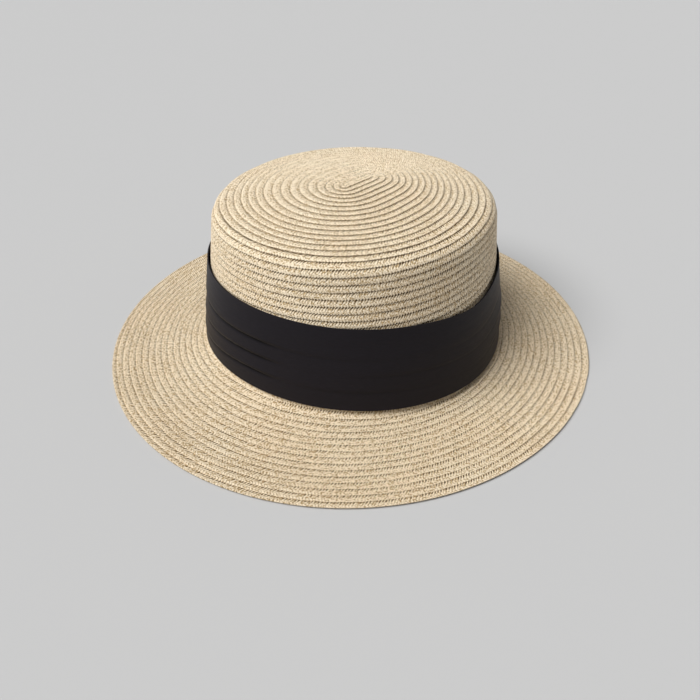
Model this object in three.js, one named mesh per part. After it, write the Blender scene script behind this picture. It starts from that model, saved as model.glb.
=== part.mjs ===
// A straw boater hat with a pleated ribbon band, in millimetres, +Z up.
// The brim's flat rim rests on z = 0. The origin is under the crown's middle, and the hat's front is at -Y.
// Every piece is a closed ring or dome: an outline in (radius, height), turned about Z, made oval and waved.

import * as THREE from 'three';
import { mergeVertices } from 'three/addons/utils/BufferGeometryUtils.js';

// Straw braid
const STRAW_WALL = 1.6; // sewn braid, where one row overlaps the next

// Facets: round each piece, and along the curves and straight stretches of an outline
const SEGMENTS = 64;
const DOME_STEPS = 6;
const EDGE_STEPS = 5;
const FILLET_STEPS = 4;
const WALL_STEPS = 3;
const SLOPE_STEPS = 6;
const BAND_INNER_STEPS = 2;
const WELD = 1e-4; // corners closer than this are one

// Plan of the hat: across (X) a circle's radius, along (Y) longer by OVAL
const OVAL = 5.9;
const OVAL_FROM = 30; // radius at which the plan has its full oval

// Crown, heights counted from the corner where its wall would meet the brim
const FOOT_RADIUS = 89.2;
const FOOT_HEIGHT = 6.3; // of that corner above the surface, on average
const FOOT_WAVE = 4.2; // the corner stands this much higher at the front and back, and lower at the sides
const CROWN_HEIGHT = 97;
const DOME_RADIUS = 367;
const EDGE_RADIUS = 9;
const WALL_LEAN = THREE.MathUtils.degToRad(5.9); // the wall leans in towards the top

// Brim
const COLLAR_HEIGHT = 5; // short upright root of the brim that meets the crown's wall
const ROOT_FILLET = 4;
const BRIM_WIDTH = 58.6;
const BRIM_SLOPE_WIDTH = 42.3; // the rest of the width is flat
const BRIM_DROP = 4.7; // from the corner to the flat rim
const RIM_ROUNDING = STRAW_WALL / 3; // the rim's edge is this much wider than the top face
const JOIN_GAP = 0.5; // between the crown's lower edge and the collar, hidden by the band

// Ribbon band, heights counted from the same corner
const BAND_BOTTOM = 4.4;
const BAND_TOP = 54;
const BAND_TOP_WAVE = 3; // rise and fall of its top edge, as the corner's
const BAND_GAP = 0.35;
// One row for each change of the outer face, from the top edge down: the share of the band's height
// above its bottom edge, and how far the cloth stands off the crown. Each fold hangs over a crease.
const BAND_FOLDS = [
  { name: 'top edge', share: 1, proud: 1.3 },
  { name: 'top panel', share: 0.75, proud: 1.8 },
  { name: 'first fold', share: 0.63, proud: 2.6 },
  { name: 'first crease', share: 0.61, proud: 1.6 },
  { name: 'second fold back', share: 0.52, proud: 2.1 },
  { name: 'second fold', share: 0.44, proud: 2.6 },
  { name: 'second crease', share: 0.42, proud: 1.6 },
  { name: 'third fold back', share: 0.33, proud: 2.1 },
  { name: 'third fold', share: 0.25, proud: 2.6 },
  { name: 'third crease', share: 0.23, proud: 1.6 },
  { name: 'bottom panel', share: 0.12, proud: 1.7 },
  { name: 'bottom edge', share: 0, proud: 1.3 },
];

const strawMaterial = new THREE.MeshStandardMaterial({
  name: 'straw_braid',
  color: 0xd9c8a3,
  roughness: 0.8,
  metalness: 0,
});
const ribbonMaterial = new THREE.MeshStandardMaterial({
  name: 'satin_ribbon',
  color: 0x1f1d1f,
  roughness: 0.45,
  metalness: 0,
});

// Radius of the straight wall's outer face at a height above the corner.
function wallRadius(height) {
  return FOOT_RADIUS - height * Math.tan(WALL_LEAN);
}

// The wave's share at an angle: 1 at the front and back, -1 at the sides.
function waveAt(angle) {
  return -Math.cos(2 * angle);
}

// Points on an arc about a centre, at angles from straight up, clockwise towards larger radii.
function arc(centre, radius, from, to, steps) {
  return Array.from({ length: steps + 1 }, (_, i) => {
    const angle = from + ((to - from) * i) / steps;
    return new THREE.Vector2(centre.x + radius * Math.sin(angle), centre.y + radius * Math.cos(angle));
  });
}

// The ends of a number of equal steps, as shares of the whole.
function shares(steps) {
  return Array.from({ length: steps }, (_, i) => (i + 1) / steps);
}

// Centre of the rounded edge: one edge radius inside both the dome and the wall.
function edgeCentre() {
  const reach = DOME_RADIUS - EDGE_RADIUS;
  const domeCentre = CROWN_HEIGHT - DOME_RADIUS;
  const lean = Math.tan(WALL_LEAN);
  const base = FOOT_RADIUS - EDGE_RADIUS / Math.cos(WALL_LEAN) - domeCentre * lean;
  const rise = (base * lean + Math.sqrt(reach ** 2 * (1 + lean ** 2) - base ** 2)) / (1 + lean ** 2);
  return new THREE.Vector2(base - rise * lean, domeCentre + rise);
}

// The same run of points, moved to its right-hand side by a wall's thickness.
function offset(points, distance) {
  return points.map((point, i) => {
    const before = points[Math.max(i - 1, 0)];
    const after = points[Math.min(i + 1, points.length - 1)];
    const along = after.clone().sub(before).normalize();
    return new THREE.Vector2(point.x + along.y * distance, point.y - along.x * distance);
  });
}

// Outer face of the crown, from the tip down to its lower edge.
function crownOutline() {
  const centre = edgeCentre();
  const domeCentre = new THREE.Vector2(0, CROWN_HEIGHT - DOME_RADIUS);
  const domeEnd = Math.atan2(centre.x, centre.y - domeCentre.y);
  const dome = arc(domeCentre, DOME_RADIUS, 0, domeEnd, DOME_STEPS);
  const edge = arc(centre, EDGE_RADIUS, domeEnd, Math.PI / 2 - WALL_LEAN, EDGE_STEPS);
  const foot = COLLAR_HEIGHT + JOIN_GAP;
  const wall = shares(WALL_STEPS).map((share) => {
    const height = THREE.MathUtils.lerp(edge[edge.length - 1].y, foot, share);
    return new THREE.Vector2(wallRadius(height), height);
  });
  return [...dome, ...edge.slice(1), ...wall];
}

// Top face of the brim, from the collar's edge out to the rim.
function brimOutline() {
  const root = new THREE.Vector2(wallRadius(ROOT_FILLET) + ROOT_FILLET / Math.cos(WALL_LEAN), ROOT_FILLET);
  const slopeAtRoot = Math.atan2(2 * BRIM_DROP, BRIM_SLOPE_WIDTH);
  const collar = new THREE.Vector2(wallRadius(COLLAR_HEIGHT), COLLAR_HEIGHT);
  const fillet = arc(root, ROOT_FILLET, -Math.PI / 2 - WALL_LEAN, -Math.PI + slopeAtRoot, FILLET_STEPS);
  const start = fillet[fillet.length - 1];
  const slopeEnd = FOOT_RADIUS + BRIM_SLOPE_WIDTH;
  const slope = shares(SLOPE_STEPS).map((share) => {
    const radius = THREE.MathUtils.lerp(start.x, slopeEnd, share);
    return new THREE.Vector2(radius, THREE.MathUtils.lerp(start.y, -BRIM_DROP, 1 - (1 - share) ** 2));
  });
  const rim = new THREE.Vector2(FOOT_RADIUS + BRIM_WIDTH - RIM_ROUNDING, -BRIM_DROP);
  return [collar, ...fillet, ...slope, rim];
}

// A closed outline, clockwise in (radius, height), turned about Z and put in place point by point.
function turned(outline, place) {
  const lathe = new THREE.LatheGeometry([...outline].reverse(), SEGMENTS);
  lathe.deleteAttribute('normal');
  lathe.deleteAttribute('uv');
  const position = lathe.getAttribute('position');
  for (let i = 0; i < position.count; i++) {
    const radius = Math.hypot(position.getX(i), position.getZ(i));
    const angle = Math.atan2(-position.getZ(i), position.getX(i));
    const placed = place(radius, position.getY(i), angle);
    position.setXYZ(i, placed.x, placed.y, placed.z);
  }
  const geometry = mergeVertices(lathe, WELD);
  geometry.computeVertexNormals();
  return geometry;
}

// A point of the oval plan at a radius, angle and height above the corner.
function placeOval(radius, height, angle) {
  const along = radius + OVAL * Math.min(1, radius / OVAL_FROM);
  return new THREE.Vector3(radius * Math.cos(angle), along * Math.sin(angle), FOOT_HEIGHT + height);
}

// The crown's wave fades from the corner to nothing at the edge.
function placeCrown(radius, height, angle) {
  const share = Math.max(0, 1 - height / edgeCentre().y);
  return placeOval(radius, height + FOOT_WAVE * share * waveAt(angle), angle);
}

// The brim's wave is the crown's at the root, and fades to nothing at the flat rim.
function placeBrim(radius, height, angle) {
  const out = (radius - FOOT_RADIUS) / BRIM_SLOPE_WIDTH;
  const root = Math.max(0, height) / edgeCentre().y;
  const share = THREE.MathUtils.clamp(1 - out, 0, 1 - root);
  return placeOval(radius, height + FOOT_WAVE * share ** 2 * waveAt(angle), angle);
}

function makeCrown() {
  const outer = crownOutline();
  const inner = offset(outer, STRAW_WALL).reverse();
  inner[inner.length - 1].x = 0;
  return new THREE.Mesh(turned([...outer, ...inner], placeCrown), strawMaterial);
}

function makeBrim() {
  const top = brimOutline();
  const rim = new THREE.Vector2(FOOT_RADIUS + BRIM_WIDTH, -BRIM_DROP - STRAW_WALL / 2);
  const under = offset(top, STRAW_WALL).reverse();
  return new THREE.Mesh(turned([...top, rim, ...under, top[0]], placeBrim), strawMaterial);
}

// The band lies on the crown's wall, with its folds on the outside.
function makeBand() {
  const outer = BAND_FOLDS.map((fold) => new THREE.Vector2(BAND_GAP + fold.proud, fold.share));
  const inner = [0, ...shares(BAND_INNER_STEPS)].map((share) => new THREE.Vector2(BAND_GAP, share));
  const onWall = [...outer, ...inner, outer[0]].map((point) => {
    const height = THREE.MathUtils.lerp(BAND_BOTTOM, BAND_TOP, point.y);
    return new THREE.Vector2(wallRadius(height) + point.x, height);
  });
  const place = (radius, height, angle) => {
    const share = (height - BAND_BOTTOM) / (BAND_TOP - BAND_BOTTOM);
    const wave = THREE.MathUtils.lerp(FOOT_WAVE * (1 - BAND_BOTTOM / edgeCentre().y), BAND_TOP_WAVE, share);
    const shift = wave * waveAt(angle);
    const crownShift = FOOT_WAVE * (1 - height / edgeCentre().y) * waveAt(angle);
    return placeOval(radius - (shift - crownShift) * Math.tan(WALL_LEAN), height + shift, angle);
  };
  return new THREE.Mesh(turned(onWall, place), ribbonMaterial);
}

const hat = new THREE.Group();
for (const [name, make] of Object.entries({ crown: makeCrown, brim: makeBrim, band: makeBand })) {
  const piece = make();
  piece.name = name;
  hat.add(piece);
}

export default hat;
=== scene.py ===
import functools
import math

import bpy
import numpy as np
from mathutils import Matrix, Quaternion, Vector


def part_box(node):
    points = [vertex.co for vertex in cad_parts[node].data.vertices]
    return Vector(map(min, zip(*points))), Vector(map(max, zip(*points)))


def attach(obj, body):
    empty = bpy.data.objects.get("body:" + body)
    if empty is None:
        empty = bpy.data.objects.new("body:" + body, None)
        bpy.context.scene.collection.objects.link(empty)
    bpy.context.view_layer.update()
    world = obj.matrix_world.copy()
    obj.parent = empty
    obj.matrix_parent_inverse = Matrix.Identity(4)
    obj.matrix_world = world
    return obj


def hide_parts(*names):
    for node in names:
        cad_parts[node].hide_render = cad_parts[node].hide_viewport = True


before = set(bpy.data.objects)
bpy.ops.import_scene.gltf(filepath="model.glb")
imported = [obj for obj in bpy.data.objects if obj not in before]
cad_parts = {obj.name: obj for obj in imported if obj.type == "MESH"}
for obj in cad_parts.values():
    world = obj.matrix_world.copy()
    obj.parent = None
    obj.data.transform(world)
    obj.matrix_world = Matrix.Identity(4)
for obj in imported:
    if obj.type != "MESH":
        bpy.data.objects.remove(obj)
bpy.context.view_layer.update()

bl_info = {
    "name": "Straw boater hat",
    "version": (1, 0, 0),
    "blender": (4, 5, 0),
    "location": "View3D > Sidebar > Hat",
    "description": "Winds the sewn straw braid of a boater hat and lays its pleated ribbon band",
    "category": "Add Mesh",
}

MM = 0.001
BODY = "root"

# The hat's form. Heights are counted from the corner where the crown's wall would meet the brim.
brim_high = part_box("brim")[1]
crown_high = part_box("crown")[1]
HALF_WIDTH = brim_high[0]  # of the brim, across the head
OVAL = brim_high[1] - brim_high[0]  # the hat is this much longer than wide, in half
BRIM_WIDTH = 58.6 * MM
BRIM_SLOPE_WIDTH = 42.3 * MM  # the rest of the width is flat
BRIM_DROP = 4.7 * MM  # from the corner to the flat rim
ROOT_FILLET = 4 * MM  # between the crown's wall and the brim
FOOT_RADIUS = HALF_WIDTH - BRIM_WIDTH
FOOT_HEIGHT = 6.3 * MM
FOOT_WAVE = 4.2 * MM  # the corner stands higher at the front and back, lower at the sides
CROWN_HEIGHT = crown_high[2] - FOOT_HEIGHT
DOME_RADIUS = 367 * MM
EDGE_RADIUS = 9 * MM
WALL_LEAN = math.radians(5.9)
# Points along each part of the form's line
DOME_POINTS = 200
EDGE_POINTS = 40
FILLET_POINTS = 30
STRAIGHT_POINTS = 100
WALL_FROM = 0.5  # share of the brim's half width. Nearer the middle, the line is still the tip's.

# How the braid is wound: clockwise, seen from above, from the middle of the tip to the rim
TIP_START = 10.5 * MM  # half the length of the straight start in the middle of the tip
TIP_SHIFT = 1.3 * MM  # of that start's middle towards the back of the head
TIP_SHARPNESS = 6  # the higher, the tighter the first rows turn round the ends of that start
TIP_OVAL_OVER = 70 * MM  # distance over which that start rounds out to the oval plan
TIP_BEGINS = math.radians(28)
# A row's open edge lies this far from the tip's middle after so many turns, before it is moved as below.
ROW_EDGES = (
    {"turn": 0, "distance": 0.6 * MM},
    {"turn": 18, "distance": 77.8 * MM},
    {"turn": 40, "distance": 168 * MM},
)
ROWS_EASE = (5 * MM, 50 * MM)  # between these distances from the tip's middle, the rows move out
ROWS_SPREAD = 7 * MM  # how far they move out on average
ROWS_SHIFT = 5.5 * MM  # less than that at this angle, and as much more opposite it
ROWS_SHIFT_ANGLE = math.radians(18)
ROWS_SKEW = 2 * MM  # more than that on the line through this angle, and as much less across it
ROWS_SKEW_ANGLE = math.radians(-36)
FOOT_LAP = 4.6 * MM  # height above the corner where the crown's last row ends on the brim's first
BRIM_ROWS = 17
BRIM_BEGINS = math.radians(-12)  # where the braid tapers out at the rim
BRIM_PITCH = 3.95 * MM
BRIM_PITCH_SWING = 0.2 * MM  # the rows are this much wider at one side of the brim and narrower opposite
BRIM_WIDEST = math.radians(20)
SAMPLES_PER_TURN = 720

# Stretches of the braid, from one turn to another. step counts half strands. openness is how dark the
# painted shade is where the strands part, reach how far down a row their gaps run, and shade how dark a row
# is painted under the row before.
CROWN_STRETCHES = (
    {
        "name": "crown_tip_braid",
        "start": 0.0,
        "end": 16.0,
        "step": 1,
        "look": {"openness": 0.9, "reach": 0.33, "shade": 0.05},
    },
    {
        "name": "crown_wall_braid",
        "start": 16.0,
        "end": 26.0,
        "step": 1,
        "look": {"openness": 0.65, "reach": 0.55, "shade": 0.7},
    },
    {
        "name": "crown_foot_braid",
        "start": 26.0,
        "end": 39.0,
        "step": 2,
        "look": {"openness": 0.65, "reach": 0.55, "shade": 0.7},
    },
)
BRIM_STRETCHES = (
    {"name": "brim_inner_braid", "start": 0.2, "end": 7.0},
    {"name": "brim_middle_braid", "start": 7.0, "end": 12.5},
    {"name": "brim_outer_braid", "start": 12.5, "end": BRIM_ROWS + 0.9},
)
BRIM_LOOK = {"openness": 0.5, "reach": 0.36, "shade": 0.03}

# The braid's section, from the edge that is tucked under the row before to the edge that lies on the next.
# across is a share of the row's width, proud of the depth that it is tucked, and frill of its edge's frill.
BRAID_SECTION = (
    {"across": 0.0, "proud": 0.0, "frill": 0.0},
    {"across": 0.2, "proud": 0.08, "frill": 0.0},
    {"across": 0.45, "proud": 0.45, "frill": 0.0},
    {"across": 0.7, "proud": 0.82, "frill": 0.15},
    {"across": 0.88, "proud": 1.0, "frill": 0.6},
    {"across": 1.0, "proud": 0.82, "frill": 1.0},
)
FRILL_LIFT = 0.4  # share of the frill by which its strands also rise and fall
BRAID_SMOOTH = math.radians(50)

# Hand-guided sewing wanders a little. Each wave has a length along the braid, a share and a start.
SEWING_SWAY = 0.12 * MM
SEWING_WAVES = (
    {"length": 47 * MM, "share": 0.6, "start": 0.0},
    {"length": 29.3 * MM, "share": 0.4, "start": 1.0},
    {"length": 13.1 * MM, "share": 0.3, "start": 2.0},
)

# The straw's pattern. Lengths are in millimetres, and scales count for each millimetre.
STRAND_TURN = 0.6  # share of a row's pitch at which the strands turn back
STRAND_LEAN = 0.55  # millimetres along for each millimetre across
STRAND_DRIFT = 1.3  # how far the strands stray along the braid
STRAND_DRIFT_SCALE = 0.45
STRAND_SIDE = (0.04, 0.34)  # share of a strand's width over which it rises out of its gap
# The gaps are drawn only as painted shade: the more open a gap, the darker.
GAP_LEAST = 0.02  # how open the closest gaps are
GAP_SECOND = 0.5  # how much more every second gap is, where the plait turns over
GAP_RANDOM = 0.85  # how much more any gap can be
GAP_CLOSES = (-0.6, 0.5)  # a gap closes between these distances from its reach
GAP_STAYS = 0.2  # share of a gap that is left open below its reach
LAP_SHADE = (-0.1, 1.6)  # the painted shade under a lap fades between these distances from its edge
HOLE_DEPTH = 1.1  # how much darker the painted shade is in the holes at the stitches
HOLE_LEAST = 0.35  # share of that in the faintest hole
HOLE_RANDOM = 0.9  # how much more it is in any hole
FIBRE_SCALE = (2.6, 0.7, 0.0)  # along and across
FIBRE_DETAIL = 3.0
FIBRE_ROUGHNESS = 0.7
SPECKLE_SCALE = 1.1
SPECKLE_DETAIL = 0.5
PALE_START = -2.4  # to this, a strand's own tone, its fibres and its speckles add
PALE_STRAND = 0.8
PALE_FIBRE = 1.2
PALE_SPECKLE = 4.4
EDGE_HIGHLIGHT = 0.35  # painted highlight: the open edge is painted paler, as where it catches the light
EDGE_HIGHLIGHT_FROM = 1.0  # this far in from the edge
EDGE_HIGHLIGHT_TO = 0.3
BATCH_SCALE = 24.0  # of the warmer batches of straw, for each metre
BATCH_SHARE = 0.5
BATCH_START = -0.1
# how dark the painted shade under a lap goes
LAP_SHADE_STRENGTH = 0.95
RELIEF_FIBRE = 0.4  # how high fibres, speckles and seams stand, against a strand's height of 1
RELIEF_SPECKLE = 0.8
RELIEF_SEAM = -1.2
STRAW_RELIEF = 0.32 * MM
STRAW_ROUGHNESS = 0.55
STRAW_ROUGHNESS_SPREAD = 0.25
STRAW_SPECULAR = 0.3

# The satin's pattern, in the same units
FLOAT_SCALE = (0.25, 2.0, 0.0)
CRUMPLE_SCALE = (0.03, 0.22, 0.0)
CRUMPLE = 4.0  # how much higher it is than the threads
SATIN_RELIEF = 0.15 * MM
SATIN_RELIEF_STRENGTH = 0.3
SATIN_ROUGHNESS = 0.4
SATIN_ROUGHNESS_SPREAD = 0.12
SATIN_SPECULAR = 0.09
SATIN_SHEEN = 0.05
SATIN_SHEEN_ROUGHNESS = 0.4

# The band. Heights are counted as the form's, and angles from +X towards the hat's back. Left, front and
# right are as the camera sees them.
BAND_BOTTOM = 4.4 * MM
BAND_TOP = 54 * MM
BAND_TOP_WAVE = 3 * MM
BAND_BODY = 0.9 * MM  # the ribbon's inner face stands this far off the straw
BAND_STEPS = 420
BAND_ROWS = 72
BAND_SMOOTH = math.radians(60)
JOIN = math.radians(-226)  # where the ribbon begins
JOIN_LAP = math.radians(7)  # its end runs on this far over its beginning
JOIN_CLIMB = math.radians(4)  # the end climbs over this far ...
JOIN_CLIMB_BEFORE = math.radians(2)  # ... and starts this far before the beginning
JOIN_GAP = 0.4 * MM  # between the two layers
PLEAT_SWELL = 1.4  # the higher, the further down a pleat is at its fullest
PLEAT_TURN = 24  # the higher, the sharper a pleat turns in at its crease
CREASE_WIDTH = 0.022  # share of the band's height
CREASE_DEPTH = 0.5 * MM
CREASES_SPREAD_FROM = math.radians(-122)  # the creases rise from their places at the left ...
CREASES_SPREAD_TO = math.radians(-78)  # ... to those along the front and right
# Each crease's share of the band's height below its top edge, at the left and along the front and right, and
# how full the pleat over it is at the right.
CREASES = (
    {"at_left": 0.42, "along": 0.375, "full": 0.7},
    {"at_left": 0.66, "along": 0.57, "full": 2.1},
    {"at_left": 0.88, "along": 0.77, "full": 1.8},
)
# The pleats are less full at the back, full at the left, nearly flat in front and full again at the right.
BACK_FULLNESS = 0.45
BACK_ENDS = (math.radians(-138), math.radians(22))  # where a change begins, and how far it takes
LEFT_ENDS = (math.radians(-80), math.radians(12))
RIGHT_BEGINS = (math.radians(8), math.radians(24))
FRONT_FULLNESS = 0.1
FRONT_SWING = 0.07  # in front it rises and falls a little round the hat ...
FRONT_WAVES = 3.7
FRONT_STEP = 2.1  # ... and this much later in each pleat, in radians
RIPPLE = 0.12 * MM  # the cloth ripples between its edges
RIPPLE_WAVES = 5  # round the hat
RIPPLE_SLANT = 9  # radians from its top edge to its bottom edge
# Where the band stands off the crown, over what spread, and how far at its top and bottom edges
FLARES = (
    {"angle": math.radians(8), "spread": math.radians(28), "top": 0.6 * MM, "bottom": 2.5 * MM},
    {"angle": math.radians(-148), "spread": math.radians(20), "top": 1.2 * MM, "bottom": 0.6 * MM},
)
# Where its top edge hangs lower, or stands higher if the depth is negative
SAGS = (
    {"angle": math.radians(4), "spread": math.radians(17), "depth": 3.2 * MM},
    {"angle": math.radians(-140), "spread": math.radians(26), "depth": -2.8 * MM},
)

# The studio, in metres
FLOOR_RADIUS = 4.0
FLOOR_SIDES = 96
FLOOR_INSET = 0.02  # share of its radius
FLOOR_ROUGHNESS = 0.9
FLOOR_SPECULAR = 0.1
GRAIN_SCALE = 400.0
GRAIN_STRENGTH = 0.05
GRAIN_RELIEF = 0.1 * MM
SWEEP_RADIUS = 1.6
SWEEP_STEPS = 12
TARGET_HEIGHT = 36.3 * MM
CAMERA_ROLL = math.radians(1.06)
CAMERA_SHIFT = (-0.0069, -0.1)
SENSOR_WIDTH = 36
NEAREST = 10 * MM
FARTHEST = 50
KEY_TURN = math.radians(-108)
KEY_RISE = math.radians(56)
KEY_DISTANCE = 2
KEY_SPREAD = math.radians(38)
WHITE = (1, 1, 1, 1)

# Sockets of a Mix node that mixes colours
SHARE = 0
FIRST = 6
SECOND = 7
MIXED = 2


class BraidSettings(bpy.types.PropertyGroup):
    """Sizes and colours of the straw."""

    pitch: bpy.props.FloatProperty(
        name="Row",
        description="Width that shows of a full row",
        default=4.1 * MM,
        min=2 * MM,
        unit="LENGTH",
        precision=5,
    )
    lap: bpy.props.FloatProperty(
        name="Lap",
        description="Width of a row that the row before it covers",
        default=0.85 * MM,
        unit="LENGTH",
        precision=5,
    )
    thickness: bpy.props.FloatProperty(
        name="Thickness",
        description="Thickness of one layer of braid",
        default=0.5 * MM,
        unit="LENGTH",
        precision=5,
    )
    crown_tuck: bpy.props.FloatProperty(
        name="Crown tuck",
        description="Depth of a row's tucked edge under its open edge, on the crown",
        default=0.8 * MM,
        unit="LENGTH",
        precision=5,
    )
    brim_tuck: bpy.props.FloatProperty(
        name="Brim tuck",
        description="Depth of a row's tucked edge under its open edge, on the flatter brim",
        default=0.5 * MM,
        unit="LENGTH",
        precision=5,
    )
    strand: bpy.props.FloatProperty(
        name="Strand",
        description="Width of one paper straw, measured along the braid",
        default=1.56 * MM,
        unit="LENGTH",
        precision=5,
    )
    frill: bpy.props.FloatProperty(
        name="Frill",
        description="How far the turned strands stand out at the braid's edge",
        default=0.3 * MM,
        unit="LENGTH",
        precision=5,
    )
    light: bpy.props.StringProperty(
        name="Light straw", description="Colour of the palest strands, sRGB hex", default="#fdeed3"
    )
    deep: bpy.props.StringProperty(
        name="Deep straw", description="Colour of the darkest strands, sRGB hex", default="#b89e72"
    )
    # Painted shade: the colour put between the strands and under a lap, where shade falls
    gap: bpy.props.StringProperty(
        name="Gap", description="Colour between the strands and under a lap, sRGB hex", default="#5d451c"
    )
    warm: bpy.props.StringProperty(
        name="Warm straw", description="Tint of the warmer batches of straw, sRGB hex", default="#f6e2cc"
    )
    crown: bpy.props.StringProperty(
        name="Crown tint", description="Tint of the whole crown, sRGB hex", default="#ffffff"
    )
    brim: bpy.props.StringProperty(
        name="Brim tint", description="Tint of the whole brim, sRGB hex", default="#f3f1ee"
    )


class RibbonSettings(bpy.types.PropertyGroup):
    """Sizes and colours of the band."""

    thickness: bpy.props.FloatProperty(
        name="Thickness",
        description="Thickness of the ribbon and its stiffening together",
        default=0.7 * MM,
        unit="LENGTH",
        precision=5,
    )
    fold_depth: bpy.props.FloatProperty(
        name="Fold depth",
        description="How far a fold stands off the crease below it",
        default=0.9 * MM,
        unit="LENGTH",
        precision=5,
    )
    colour: bpy.props.StringProperty(
        name="Satin", description="Colour of the satin, sRGB hex", default="#221f24"
    )
    float: bpy.props.StringProperty(
        name="Floats", description="Colour of the satin's higher threads, sRGB hex", default="#1b191c"
    )
    # Painted shade, near black, deep in the creases
    crease: bpy.props.StringProperty(
        name="Crease", description="Colour deep in the creases, sRGB hex", default="#020202"
    )
    sheen: bpy.props.StringProperty(
        name="Sheen", description="Colour of the satin's soft sheen, sRGB hex", default="#8d8a92"
    )


class StudioSettings(bpy.types.PropertyGroup):
    """Camera, light and floor."""

    azimuth: bpy.props.FloatProperty(
        name="Azimuth",
        description="Camera's turn round the hat from straight in front",
        default=math.radians(43.4),
        subtype="ANGLE",
    )
    elevation: bpy.props.FloatProperty(
        name="Elevation",
        description="Camera's angle above the floor",
        default=math.radians(31.3),
        subtype="ANGLE",
    )
    distance: bpy.props.FloatProperty(
        name="Distance",
        description="From the camera to the point it looks at",
        default=442.2 * MM,
        unit="LENGTH",
    )
    lens: bpy.props.FloatProperty(
        name="Lens", description="Focal length in millimetres", default=35.97
    )
    floor: bpy.props.StringProperty(
        name="Floor", description="Colour of the floor, sRGB hex", default="#bdbdbd"
    )
    key: bpy.props.FloatProperty(name="Key light", description="Strength of the key light", default=3.5)
    fill: bpy.props.FloatProperty(
        name="Fill light", description="Strength of the room's light", default=0.25
    )


def linear(colour):
    """An sRGB hex colour as linear RGBA."""
    shares = [int(colour[i : i + 2], 16) / 255 for i in (1, 3, 5)]
    return (*[c / 12.92 if c <= 0.04045 else ((c + 0.055) / 1.055) ** 2.4 for c in shares], 1.0)


def add(tree, kind, inputs=(), output=0, **settings):
    """Adds a node, sets it and links or fills its inputs, given by name or in order. Returns one output."""
    node = tree.nodes.new("ShaderNode" + kind)
    for name, value in settings.items():
        setattr(node, name, value)
    if not isinstance(inputs, dict):
        inputs = dict(enumerate(inputs))
    for socket, value in inputs.items():
        if isinstance(value, bpy.types.NodeSocket):
            tree.links.new(value, node.inputs[socket])
        else:
            node.inputs[socket].default_value = value
    return node.outputs[output] if node.outputs else None


def new_material(name):
    """An empty material, with the function above set to add to it."""
    material = bpy.data.materials.new(name)
    material.use_nodes = True
    material.node_tree.nodes.clear()
    return material, functools.partial(add, material.node_tree)


def smoothstep(share):
    share = np.clip(share, 0, 1)
    return share * share * (3 - 2 * share)


# ---------------------------------------------------------------- the hat's form


def arc(centre, radius, start, end, count):
    angle = np.linspace(start, end, count)
    return np.stack([centre[0] + radius * np.sin(angle), centre[1] + radius * np.cos(angle)], -1)


def edge_centre():
    """Centre of the rounded edge: one edge radius inside both the dome and the wall."""
    lean = math.tan(WALL_LEAN)
    reach = DOME_RADIUS - EDGE_RADIUS
    dome_centre = CROWN_HEIGHT - DOME_RADIUS
    base = FOOT_RADIUS - EDGE_RADIUS / math.cos(WALL_LEAN) - dome_centre * lean
    rise = (base * lean + math.sqrt(reach**2 * (1 + lean**2) - base**2)) / (1 + lean**2)
    return base - rise * lean, dome_centre + rise


def wall_radius(height):
    return FOOT_RADIUS - height * math.tan(WALL_LEAN)


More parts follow.
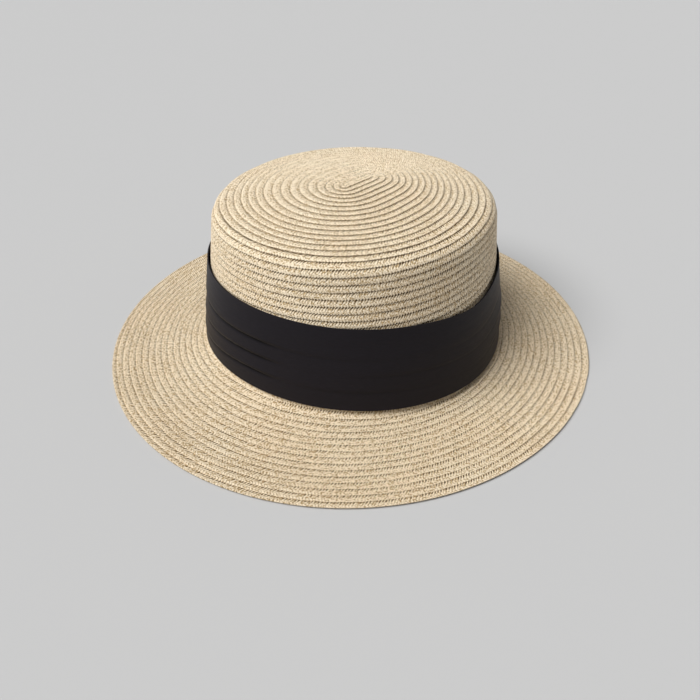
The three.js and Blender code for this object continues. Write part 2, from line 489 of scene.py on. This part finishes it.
class Form:
    """The straw's outer face as one line in (radius, height), from the middle of the tip to the rim."""

    def __init__(self):
        centre = edge_centre()
        dome_centre = (0.0, CROWN_HEIGHT - DOME_RADIUS)
        dome_end = math.atan2(centre[0], centre[1] - dome_centre[1])
        slope_at_root = math.atan2(2 * BRIM_DROP, BRIM_SLOPE_WIDTH)
        root = (wall_radius(ROOT_FILLET) + ROOT_FILLET / math.cos(WALL_LEAN), ROOT_FILLET)
        dome = arc(dome_centre, DOME_RADIUS, 0, dome_end, DOME_POINTS)
        edge = arc(centre, EDGE_RADIUS, dome_end, math.pi / 2 - WALL_LEAN, EDGE_POINTS)
        fillet = arc(root, ROOT_FILLET, -math.pi / 2 - WALL_LEAN, -math.pi + slope_at_root, FILLET_POINTS)
        share = np.linspace(0, 1, STRAIGHT_POINTS)[:, None]
        wall = edge[-1] + (fillet[0] - edge[-1]) * share
        slope_end = np.array([FOOT_RADIUS + BRIM_SLOPE_WIDTH, -BRIM_DROP])
        ease = 1 - (1 - share) ** 2
        slope = fillet[-1] + (slope_end - fillet[-1]) * np.hstack([share, ease])
        rim = np.array([HALF_WIDTH, -BRIM_DROP])
        flat = slope_end + (rim - slope_end) * share
        line = np.vstack([dome, edge[1:], wall[1:], fillet[1:], slope[1:], flat[1:]])
        self.distance = np.concatenate([[0], np.cumsum(np.hypot(*np.diff(line, axis=0).T))])
        self.radius, self.height = line.T
        self.edge_height = centre[1]
        along = np.gradient(line, self.distance, axis=0)
        along /= np.linalg.norm(along, axis=1)[:, None]
        self.out_radius, self.out_height = -along[:, 1], along[:, 0]

    def at_wall_height(self, height):
        """Distance from the tip's middle to a height on the wall."""
        wall = (self.radius > self.radius.max() * WALL_FROM) & (self.height > 0)
        order = np.argsort(self.height[wall])
        return float(np.interp(height, self.height[wall][order], self.distance[wall][order]))

    def point(self, distance, angle, proud):
        """Points on the straw, at a distance from the tip's middle and an angle, raised off the face."""
        side = np.where(distance < 0, -1.0, 1.0)
        far = np.abs(distance)
        radius = np.interp(far, self.distance, self.radius)
        height = np.interp(far, self.distance, self.height)
        radius = side * (radius + proud * np.interp(far, self.distance, self.out_radius))
        height = height + proud * np.interp(far, self.distance, self.out_height)
        return self.place(radius, height, angle, far)

    def place(self, radius, height, angle, far):
        """A radius and height put on the hat's oval and waved plan."""
        root = np.clip(height / self.edge_height, 0, 1)
        out = np.clip((radius - FOOT_RADIUS) / BRIM_SLOPE_WIDTH, 0, 1)
        wave = -FOOT_WAVE * (1 - root) * (1 - out) ** 2 * np.cos(2 * angle)
        across, long = np.cos(angle), np.sin(angle)
        rounded = smoothstep(far / TIP_OVAL_OVER)
        straight = np.tanh(TIP_SHARPNESS * long) / np.tanh(TIP_SHARPNESS)
        stretch = (straight * TIP_START + TIP_SHIFT) * (1 - rounded) + long * OVAL * rounded
        return np.stack([radius * across, radius * long + stretch, FOOT_HEIGHT + height + wave], -1)


form = Form()


# ---------------------------------------------------------------- materials


def straw_material(name, settings, look, tint):
    """Paper straw, plaited flat and pressed: pale matt strands that cross in a herringbone, each with its
    own tone and fine fibres, with painted shade in the gaps where two strands part and under each lap."""
    material, node = new_material(name)
    pitch = settings.pitch / MM
    lap = settings.lap / MM
    strand = settings.strand / MM
    place = node("UVMap", uv_map="braid")
    along = node("SeparateXYZ", [place], output="X")
    across = node("SeparateXYZ", [place], output="Y")
    down = node("Math", [across, lap], operation="SUBTRACT")  # from the edge of the row before

    # Strands lean one way in the upper part of a row and the other way in the lower part.
    drift = node("TexNoise", {"Vector": place, "Scale": STRAND_DRIFT_SCALE})
    lean = node("Math", [drift, STRAND_DRIFT, along], operation="MULTIPLY_ADD")
    from_turn = node("Math", [down, STRAND_TURN * pitch], operation="SUBTRACT")
    from_turn = node("Math", [from_turn], operation="ABSOLUTE")
    lean = node("Math", [from_turn, -STRAND_LEAN, lean], operation="MULTIPLY_ADD")
    count = node("Math", [lean, strand], operation="DIVIDE")
    lower = node("Math", [down, STRAND_TURN * pitch], operation="GREATER_THAN")
    number = node("Math", [count], operation="FLOOR")
    number = node("Math", [lower, 0.5, number], operation="MULTIPLY_ADD")
    strand_tone = node("TexWhiteNoise", {"W": number}, noise_dimensions="1D")
    body = node("Math", [count, 0.5], operation="PINGPONG")
    body = node("MapRange", [body, *STRAND_SIDE], interpolation_type="SMOOTHSTEP")
    side = node("Math", [1.0, body], operation="SUBTRACT")

    # Every second gap is the wider one, where the plait turns over. The gaps are drawn as painted shade.
    gap_number = node("Math", [count, 0.5], operation="ADD")
    gap_number = node("Math", [gap_number], operation="FLOOR")
    gap_random = node("TexWhiteNoise", {"W": gap_number}, noise_dimensions="1D")
    width = node("Math", [gap_number, 1.0], operation="PINGPONG")
    width = node("Math", [width, GAP_SECOND, GAP_LEAST], operation="MULTIPLY_ADD")
    width = node("Math", [gap_random, GAP_RANDOM, width], operation="MULTIPLY_ADD")
    slit_shade = node("Math", [side, width], operation="MULTIPLY")
    closes = [look["reach"] * pitch + far for far in GAP_CLOSES]
    in_reach = node("MapRange", [down, *closes, 1.0, GAP_STAYS], interpolation_type="SMOOTHSTEP")
    slit_shade = node("Math", [slit_shade, in_reach], operation="MULTIPLY")
    slit_shade = node("Math", [slit_shade, look["openness"]], operation="MULTIPLY")

    # Close under the row before, the row is painted with shade, deepest in the holes that its stitches hold
    # open.
    under = node("MapRange", [down, *LAP_SHADE, 1.0, 0.0], interpolation_type="SMOOTHSTEP")
    hole_shade = node("Math", [side, HOLE_DEPTH, look["shade"]], operation="MULTIPLY_ADD")
    uneven = node("Math", [gap_random, HOLE_RANDOM, HOLE_LEAST], operation="MULTIPLY_ADD")
    hole_shade = node("Math", [hole_shade, uneven], operation="MULTIPLY")
    under_lap_shade = node("Math", [under, hole_shade], operation="MULTIPLY")

    # Fibres run along each strand, so their coordinates follow its lean.
    fibre_place = node("CombineXYZ", [lean, across])
    fibre_place = node("VectorMath", [fibre_place, FIBRE_SCALE], operation="MULTIPLY")
    fibre = node(
        "TexNoise",
        {"Vector": fibre_place, "Scale": 1.0, "Detail": FIBRE_DETAIL, "Roughness": FIBRE_ROUGHNESS},
    )
    speckle = node("TexNoise", {"Vector": place, "Scale": SPECKLE_SCALE, "Detail": SPECKLE_DETAIL})

    pale = node("Math", [strand_tone, PALE_STRAND, PALE_START], operation="MULTIPLY_ADD")
    pale = node("Math", [fibre, PALE_FIBRE, pale], operation="MULTIPLY_ADD")
    pale = node("Math", [speckle, PALE_SPECKLE, pale], operation="MULTIPLY_ADD", use_clamp=True)
    # Painted highlight: the open edge is painted paler, where it catches the light.
    edge = [down, pitch - EDGE_HIGHLIGHT_FROM, pitch - EDGE_HIGHLIGHT_TO]
    edge = node("MapRange", edge, interpolation_type="SMOOTHSTEP")
    pale = node("Math", [edge, EDGE_HIGHLIGHT, pale], operation="MULTIPLY_ADD", use_clamp=True)
    base = {SHARE: pale, FIRST: linear(settings.deep), SECOND: linear(settings.light)}
    base = node("Mix", base, output=MIXED, data_type="RGBA")
    base = {SHARE: 1.0, FIRST: base, SECOND: linear(tint)}
    base = node("Mix", base, output=MIXED, data_type="RGBA", blend_type="MULTIPLY")

    # Batches of straw differ a little in warmth along the braid.
    everywhere = node("TexCoord", output="Object")
    batch = node("TexNoise", {"Vector": everywhere, "Scale": BATCH_SCALE})
    batch = node("Math", [batch, BATCH_SHARE, BATCH_START], operation="MULTIPLY_ADD")
    warm = {SHARE: 1.0, FIRST: base, SECOND: linear(settings.warm)}
    warm = node("Mix", warm, output=MIXED, data_type="RGBA", blend_type="MULTIPLY")
    base = node("Mix", {SHARE: batch, FIRST: base, SECOND: warm}, output=MIXED, data_type="RGBA")
    # Painted shade: the straw darkens towards the gap colour under each lap, in the stitch holes and in the
    # gaps between strands.
    painted_shade = node("Math", [under_lap_shade, LAP_SHADE_STRENGTH, slit_shade], operation="MULTIPLY_ADD", use_clamp=True)
    colour = {SHARE: painted_shade, FIRST: base, SECOND: linear(settings.gap)}
    colour = node("Mix", colour, output=MIXED, data_type="RGBA")

    relief = node("Math", [fibre, RELIEF_FIBRE, body], operation="MULTIPLY_ADD")
    relief = node("Math", [speckle, RELIEF_SPECKLE, relief], operation="MULTIPLY_ADD")
    relief = node("Math", [under_lap_shade, RELIEF_SEAM, relief], operation="MULTIPLY_ADD")
    bump = node("Bump", {"Height": relief, "Strength": 1.0, "Distance": STRAW_RELIEF})
    rough = [fibre, STRAW_ROUGHNESS_SPREAD, STRAW_ROUGHNESS]
    rough = node("Math", rough, operation="MULTIPLY_ADD")
    shader = node(
        "BsdfPrincipled",
        {
            "Base Color": colour,
            "Roughness": rough,
            "Normal": bump,
            "Specular IOR Level": STRAW_SPECULAR,
        },
    )
    node("OutputMaterial", {"Surface": shader})
    return material


def satin_material(name, settings):
    """Polyester satin, woven with long floats: near black, with a soft sheen across the folds and fine ribs
    along the ribbon."""
    material, node = new_material(name)
    place = node("UVMap", uv_map="ribbon")
    # Real floats are 0.1 mm wide. They are drawn 0.5 mm wide, so that they show.
    thread = node("VectorMath", [place, FLOAT_SCALE], operation="MULTIPLY")
    thread = node("TexNoise", {"Vector": thread, "Scale": 1.0})
    crumple = node("VectorMath", [place, CRUMPLE_SCALE], operation="MULTIPLY")
    crumple = node("TexNoise", {"Vector": crumple, "Scale": 1.0})
    relief = node("Math", [crumple, CRUMPLE, thread], operation="MULTIPLY_ADD")
    bump = {"Height": relief, "Strength": SATIN_RELIEF_STRENGTH, "Distance": SATIN_RELIEF}
    bump = node("Bump", bump)
    rough = [thread, SATIN_ROUGHNESS_SPREAD, SATIN_ROUGHNESS]
    rough = node("Math", rough, operation="MULTIPLY_ADD")
    base = {SHARE: thread, FIRST: linear(settings.colour), SECOND: linear(settings.float)}
    base = node("Mix", base, output=MIXED, data_type="RGBA")
    # Painted shade: the creases are painted near black, as light doesn't reach into them.
    crease = node("Attribute", output="Fac", attribute_name="crease")
    base = {SHARE: crease, FIRST: base, SECOND: linear(settings.crease)}
    base = node("Mix", base, output=MIXED, data_type="RGBA")
    shader = node(
        "BsdfPrincipled",
        {
            "Base Color": base,
            "Roughness": rough,
            "Normal": bump,
            "Specular IOR Level": SATIN_SPECULAR,
            "Sheen Weight": SATIN_SHEEN,
            "Sheen Roughness": SATIN_SHEEN_ROUGHNESS,
            "Sheen Tint": linear(settings.sheen),
        },
    )
    node("OutputMaterial", {"Surface": shader})
    return material


def floor_material(settings):
    """Matt painted board: an even pale grey with a faint roller grain."""
    material, node = new_material("matt_painted_board")
    place = node("TexCoord", output="Object")
    grain = node("TexNoise", {"Vector": place, "Scale": GRAIN_SCALE})
    bump = node("Bump", {"Height": grain, "Strength": GRAIN_STRENGTH, "Distance": GRAIN_RELIEF})
    shader = node(
        "BsdfPrincipled",
        {
            "Base Color": linear(settings.floor),
            "Roughness": FLOOR_ROUGHNESS,
            "Specular IOR Level": FLOOR_SPECULAR,
            "Normal": bump,
        },
    )
    node("OutputMaterial", {"Surface": shader})
    return material


# ---------------------------------------------------------------- making pieces


def new_strip(name, steps, rows):
    """A flat grid, with each corner's station along it (from 0) and share across it, left to be shaped."""
    bpy.ops.object.select_all(action="DESELECT")
    bpy.ops.mesh.primitive_grid_add(x_subdivisions=steps, y_subdivisions=rows, size=1, calc_uvs=False)
    strip = bpy.context.object
    strip.name = strip.data.name = name
    corners = np.empty(len(strip.data.vertices) * 3)
    strip.data.vertices.foreach_get("co", corners)
    corners = corners.reshape(-1, 3)
    station = np.rint((corners[:, 0] + 0.5) * steps).astype(int)
    row = np.rint((0.5 - corners[:, 1]) * rows).astype(int)
    return strip, station, row


def shape_strip(strip, points, layer, layout):
    """Puts the strip's corners in place and lays out its map in millimetres."""
    mesh = strip.data
    mesh.vertices.foreach_set("co", points.ravel())
    uv_layer = mesh.uv_layers.new(name=layer)
    corner = np.empty(len(mesh.loops), int)
    mesh.loops.foreach_get("vertex_index", corner)
    uv_layer.data.foreach_set("uv", (layout[corner] / MM).ravel())
    mesh.update()


def apply_modifier(piece, kind, **settings):
    bpy.ops.object.select_all(action="DESELECT")
    piece.select_set(True)
    bpy.context.view_layer.objects.active = piece
    modifier = piece.modifiers.new(kind.title(), kind)
    for name, value in settings.items():
        setattr(modifier, name, value)
    bpy.ops.object.modifier_apply(modifier=modifier.name)


def finish_cloth(piece, material, angle, slot, *nodes):
    """Smooths the piece, gives it its material and puts it on the hat."""
    bpy.ops.object.select_all(action="DESELECT")
    piece.select_set(True)
    bpy.context.view_layer.objects.active = piece
    bpy.ops.object.shade_smooth_by_angle(angle=angle)
    piece.data.materials.append(material)
    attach(piece, BODY)
    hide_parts(*nodes)


def wander(along):
    """How far the braid strays from its line, along its length."""
    waves = [w["share"] * np.sin(2 * math.pi * along / w["length"] + w["start"]) for w in SEWING_WAVES]
    return SEWING_SWAY * sum(waves)


def wind_braid(name, outer_edge, begins, start, end, tuck, settings, step):
    """Winds a strip of braid over the form. outer_edge gives the open edge's distance from the tip at each
    turn, and the tucked edge lies under the open edge of the turn before."""
    turns = np.linspace(start, end, int((end - start) * SAMPLES_PER_TURN))

    def lay(turn):
        return outer_edge(turn - 1) - settings.lap, outer_edge(turn), begins - 2 * math.pi * turn

    inner, outer, angle = lay(turns)
    middle = form.point((inner + outer) / 2, angle, 0)
    length = np.concatenate([[0], np.cumsum(np.linalg.norm(np.diff(middle, axis=0), axis=1))])
    steps = 2 * int(length[-1] / (2 * step))
    strip, station, row = new_strip(name, steps, len(BRAID_SECTION) - 1)

    along = np.linspace(0, length[-1], steps + 1)
    inner, outer, angle = lay(np.interp(along, length, turns))
    width = outer - inner
    fullness = np.clip((width - settings.lap) / settings.pitch, 0, 1)
    turned = np.where(np.arange(steps + 1) % 2, 1.0, -1.0)
    sway = np.where(outer < form.distance[-1], wander(along), 0)
    across, proud, frill = (
        np.array([part[key] for part in BRAID_SECTION])[row] for key in ("across", "proud", "frill")
    )
    ruffle = frill * settings.frill * turned[station]
    distance = inner[station] + across * width[station]
    distance += (ruffle + sway[station] * across) * fullness[station]
    lift = tuck * (proud * fullness[station] - 1) + FRILL_LIFT * ruffle * fullness[station]
    points = form.point(np.minimum(distance, form.distance[-1]), angle[station], lift)
    shape_strip(strip, points, "braid", np.stack([-along[station], across * width[station]], -1))
    bpy.ops.object.mode_set(mode="EDIT")
    bpy.ops.mesh.select_all(action="SELECT")
    bpy.ops.mesh.flip_normals()
    bpy.ops.object.mode_set(mode="OBJECT")
    apply_modifier(strip, "SOLIDIFY", thickness=settings.thickness, offset=-1.0)
    return strip


class HAT_OT_crown(bpy.types.Operator):
    """Wind the braid of the tip and the wall"""

    bl_idname = "hat.crown"
    bl_label = "Crown"

    def execute(self, context):
        settings = context.scene.hat_braid
        foot = form.at_wall_height(FOOT_LAP)
        turns = [part["turn"] for part in ROW_EDGES]
        distances = [part["distance"] for part in ROW_EDGES]
        tip_pitch = (distances[1] - distances[0]) / (turns[1] - turns[0])

        def outer_edge(turn):
            regular = np.interp(turn, turns, distances) + np.minimum(turn, 0) * tip_pitch
            angle = TIP_BEGINS - 2 * math.pi * turn
            share = smoothstep((regular - ROWS_EASE[0]) / (ROWS_EASE[1] - ROWS_EASE[0]))
            off = ROWS_SPREAD - ROWS_SHIFT * np.cos(angle - ROWS_SHIFT_ANGLE)
            off += ROWS_SKEW * np.cos(2 * (angle - ROWS_SKEW_ANGLE))
            return np.minimum(regular + share * off, foot)

        for part in CROWN_STRETCHES:
            piece = wind_braid(
                part["name"],
                outer_edge,
                TIP_BEGINS,
                part["start"],
                part["end"],
                settings.crown_tuck,
                settings,
                part["step"] * settings.strand / 2,
            )
            name = "paper_straw_plaited_" + part["name"]
            material = straw_material(name, settings, part["look"], settings.crown)
            finish_cloth(piece, material, BRAID_SMOOTH, "straw_braid", "crown")
        return {"FINISHED"}


class HAT_OT_brim(bpy.types.Operator):
    """Wind the braid of the brim"""

    bl_idname = "hat.brim"
    bl_label = "Brim"

    def execute(self, context):
        settings = context.scene.hat_braid
        foot = form.at_wall_height(FOOT_LAP)
        rim = form.distance[-1]

        def outer_edge(turn):
            angle = BRIM_BEGINS - 2 * math.pi * turn
            pitch = BRIM_PITCH + BRIM_PITCH_SWING * np.cos(angle - BRIM_WIDEST)
            return np.clip(rim - pitch * (BRIM_ROWS - turn), foot, rim)

        material = straw_material("paper_straw_plaited_brim", settings, BRIM_LOOK, settings.brim)
        for part in BRIM_STRETCHES:
            piece = wind_braid(
                part["name"],
                outer_edge,
                BRIM_BEGINS,
                part["start"],
                part["end"],
                settings.brim_tuck,
                settings,
                settings.strand / 2,
            )
            finish_cloth(piece, material, BRAID_SMOOTH, "straw_braid", "brim")
        return {"FINISHED"}


def crease_shares(angle):
    """The creases' shares of the band's height below its top edge, at angles round the hat."""
    spread = smoothstep((angle - CREASES_SPREAD_FROM) / (CREASES_SPREAD_TO - CREASES_SPREAD_FROM))
    return [c["at_left"] + (c["along"] - c["at_left"]) * spread for c in CREASES]


def pleat_depths(angle, depth):
    """The depth of each pleat, at angles round the hat."""
    left = 1 - smoothstep((angle - LEFT_ENDS[0]) / LEFT_ENDS[1])
    left *= BACK_FULLNESS + (1 - BACK_FULLNESS) * smoothstep((angle - BACK_ENDS[0]) / BACK_ENDS[1])
    right = smoothstep((angle - RIGHT_BEGINS[0]) / RIGHT_BEGINS[1])
    right = right * np.array([c["full"] for c in CREASES])[:, None]
    number = np.arange(len(CREASES))[:, None]
    front = FRONT_FULLNESS + FRONT_SWING * np.sin(angle * FRONT_WAVES + number * FRONT_STEP)
    return depth * (front + (1 - front) * np.maximum(left, right))


def hill(angle, place):
    """A smooth rise to 1 round a place on the hat."""
    return np.exp(-(((angle - place["angle"]) / place["spread"]) ** 2))


class HAT_OT_band(bpy.types.Operator):
    """Lay the pleated satin ribbon round the crown"""

    bl_idname = "hat.band"
    bl_label = "Band"

    def execute(self, context):
        settings = context.scene.hat_ribbon
        strip, station, row = new_strip("ribbon_band", BAND_STEPS, BAND_ROWS)
        turn = np.linspace(JOIN, JOIN + 2 * math.pi + JOIN_LAP, BAND_STEPS + 1)
        angle = turn[station]
        down = np.linspace(0, 1, BAND_ROWS + 1)[row]
        depth = pleat_depths(turn, settings.fold_depth)
        proud = np.full(len(angle), BAND_BODY)
        groove = np.zeros(len(angle))
        above = np.zeros(len(turn))
        for i, crease in enumerate(crease_shares(turn)):
            # Each pleat swells from the crease above it and turns in sharply at its own.
            part = (down - above[station]) / (crease - above)[station]
            inside = (part > 0) & (part <= 1)
            swell = np.clip(part, 0, 1) ** PLEAT_SWELL * (1 - np.clip(part, 0, 1) ** PLEAT_TURN)
            proud += np.where(inside, depth[i][station] * swell, 0)
            from_crease = (down - crease[station]) / CREASE_WIDTH
            groove += np.exp(-(from_crease**2)) * depth[i][station] / settings.fold_depth
            above = crease
        proud -= CREASE_DEPTH * groove
        proud += RIPPLE * np.sin(angle * RIPPLE_WAVES + RIPPLE_SLANT * down) * np.sin(math.pi * down)
        proud += sum(hill(angle, f) * (f["top"] + (f["bottom"] - f["top"]) * down) for f in FLARES)
        lapped = smoothstep((angle - JOIN - 2 * math.pi + JOIN_CLIMB_BEFORE) / JOIN_CLIMB)
        proud += lapped * (settings.thickness + JOIN_GAP)
        sag = sum(hill(angle, s) * s["depth"] for s in SAGS) * (1 - down)
        height = BAND_TOP + (BAND_BOTTOM - BAND_TOP) * down - sag
        points = self.round_crown(angle, height, down, settings.thickness + proud)
        length = FOOT_RADIUS * (angle - JOIN)
        layout = np.stack([length, down * (BAND_TOP - BAND_BOTTOM)], -1)
        shape_strip(strip, points, "ribbon", layout)
        # The groove also marks where the satin is painted with near-black shade.
        strip.data.attributes.new("crease", "FLOAT", "POINT").data.foreach_set("value", groove)
        apply_modifier(strip, "SOLIDIFY", thickness=settings.thickness, offset=-1.0)
        material = satin_material("polyester_satin_woven", settings)
        finish_cloth(strip, material, BAND_SMOOTH, "satin_ribbon", "band")
        return {"FINISHED"}

    @staticmethod
    def round_crown(angle, height, down, proud):
        """Points that stand proud of the crown's wall. The band's edges wave less than the crown does."""
        centre = form.edge_height
        bottom_wave = FOOT_WAVE * (1 - BAND_BOTTOM / centre)
        wave = bottom_wave + (BAND_TOP_WAVE - bottom_wave) * (1 - down)
        shift = -wave * np.cos(2 * angle)
        crown_shift = -FOOT_WAVE * (1 - height / centre) * np.cos(2 * angle)
        radius = wall_radius(height) + proud - (shift - crown_shift) * math.tan(WALL_LEAN)
        across = radius * np.cos(angle)
        long = (radius + OVAL) * np.sin(angle)
        return np.stack([across, long, FOOT_HEIGHT + height + shift], -1)


def towards(turn, rise):
    """The direction at a turn round the hat, from +X towards its back, and a rise above the floor."""
    return Vector((math.cos(turn) * math.cos(rise), math.sin(turn) * math.cos(rise), math.sin(rise)))


class HAT_OT_studio(bpy.types.Operator):
    """Set up the floor, the light and the camera"""

    bl_idname = "hat.studio"
    bl_label = "Studio"

    def execute(self, context):
        settings = context.scene.hat_studio
        scene = context.scene
        bpy.ops.object.select_all(action="DESELECT")
        floor = self.sweep()
        floor.data.materials.append(floor_material(settings))

        back = towards(settings.azimuth - math.pi / 2, settings.elevation)
        target = Vector((0, 0, TARGET_HEIGHT))
        bpy.ops.object.camera_add(location=target + back * settings.distance)
        camera = context.object
        camera.name = "camera"
        camera.rotation_mode = "QUATERNION"
        roll = Quaternion((0, 0, 1), CAMERA_ROLL)
        camera.rotation_quaternion = (-back).to_track_quat("-Z", "Y") @ roll
        camera.data.lens = settings.lens
        camera.data.sensor_width = SENSOR_WIDTH
        camera.data.shift_x, camera.data.shift_y = CAMERA_SHIFT
        camera.data.clip_start = NEAREST
        camera.data.clip_end = FARTHEST
        scene.camera = camera

        to_key = towards(KEY_TURN, KEY_RISE)
        bpy.ops.object.light_add(type="SUN", location=to_key * KEY_DISTANCE)
        key = context.object
        key.name = "key_light"
        key.rotation_mode = "QUATERNION"
        key.rotation_quaternion = to_key.to_track_quat("Z", "Y")
        key.data.energy = settings.key
        key.data.angle = KEY_SPREAD

        world = bpy.data.worlds.new("pale_room")
        world.use_nodes = True
        background = world.node_tree.nodes["Background"]
        background.inputs["Color"].default_value = WHITE
        background.inputs["Strength"].default_value = settings.fill
        scene.world = world
        scene.view_settings.view_transform = "Standard"
        scene.view_settings.look = "None"
        return {"FINISHED"}

    @staticmethod
    def sweep():
        """A round floor whose rim curves up, so that no edge shows behind the hat."""
        bpy.ops.mesh.primitive_circle_add(vertices=FLOOR_SIDES, radius=FLOOR_RADIUS, fill_type="NGON")
        floor = bpy.context.object
        floor.name = "floor"
        bpy.ops.object.mode_set(mode="EDIT")
        bpy.ops.mesh.select_all(action="SELECT")
        bpy.ops.mesh.inset(thickness=FLOOR_RADIUS * FLOOR_INSET)
        bpy.ops.mesh.select_all(action="DESELECT")
        bpy.ops.mesh.select_non_manifold(extend=False)
        for i in range(SWEEP_STEPS):
            rise = math.radians(90 * (i + 0.5) / SWEEP_STEPS)
            step = 2 * SWEEP_RADIUS * math.sin(math.radians(45 / SWEEP_STEPS))
            radius = FLOOR_RADIUS + SWEEP_RADIUS * math.sin(math.radians(90 * i / SWEEP_STEPS))
            grown = (radius + step * math.cos(rise)) / radius
            bpy.ops.mesh.extrude_edges_move(TRANSFORM_OT_translate={"value": (0, 0, step * math.sin(rise))})
            bpy.ops.transform.resize(value=(grown, grown, 1), center_override=(0, 0, 0))
        bpy.ops.object.mode_set(mode="OBJECT")
        bpy.ops.object.shade_smooth()
        return floor


class HAT_PT_panel(bpy.types.Panel):
    """Lists the hat's pieces"""

    bl_idname = "HAT_PT_panel"
    bl_label = "Straw boater hat"
    bl_space_type = "VIEW_3D"
    bl_region_type = "UI"
    bl_category = "Hat"

    def draw(self, context):
        for group, operators in (
            (context.scene.hat_studio, ("hat.studio",)),
            (context.scene.hat_braid, ("hat.crown", "hat.brim")),
            (context.scene.hat_ribbon, ("hat.band",)),
        ):
            box = self.layout.box()
            for name in group.__annotations__:
                box.prop(group, name)
            for operator in operators:
                box.operator(operator)


CLASSES = (
    BraidSettings,
    RibbonSettings,
    StudioSettings,
    HAT_OT_studio,
    HAT_OT_crown,
    HAT_OT_brim,
    HAT_OT_band,
    HAT_PT_panel,
)


def register():
    for cls in CLASSES:
        bpy.utils.register_class(cls)
    bpy.types.Scene.hat_braid = bpy.props.PointerProperty(type=BraidSettings)
    bpy.types.Scene.hat_ribbon = bpy.props.PointerProperty(type=RibbonSettings)
    bpy.types.Scene.hat_studio = bpy.props.PointerProperty(type=StudioSettings)


def unregister():
    del bpy.types.Scene.hat_studio
    del bpy.types.Scene.hat_ribbon
    del bpy.types.Scene.hat_braid
    for cls in reversed(CLASSES):
        bpy.utils.unregister_class(cls)


def main():
    register()
    bpy.ops.hat.studio()
    bpy.ops.hat.crown()
    bpy.ops.hat.brim()
    bpy.ops.hat.band()


if __name__ == "__main__":
    main()
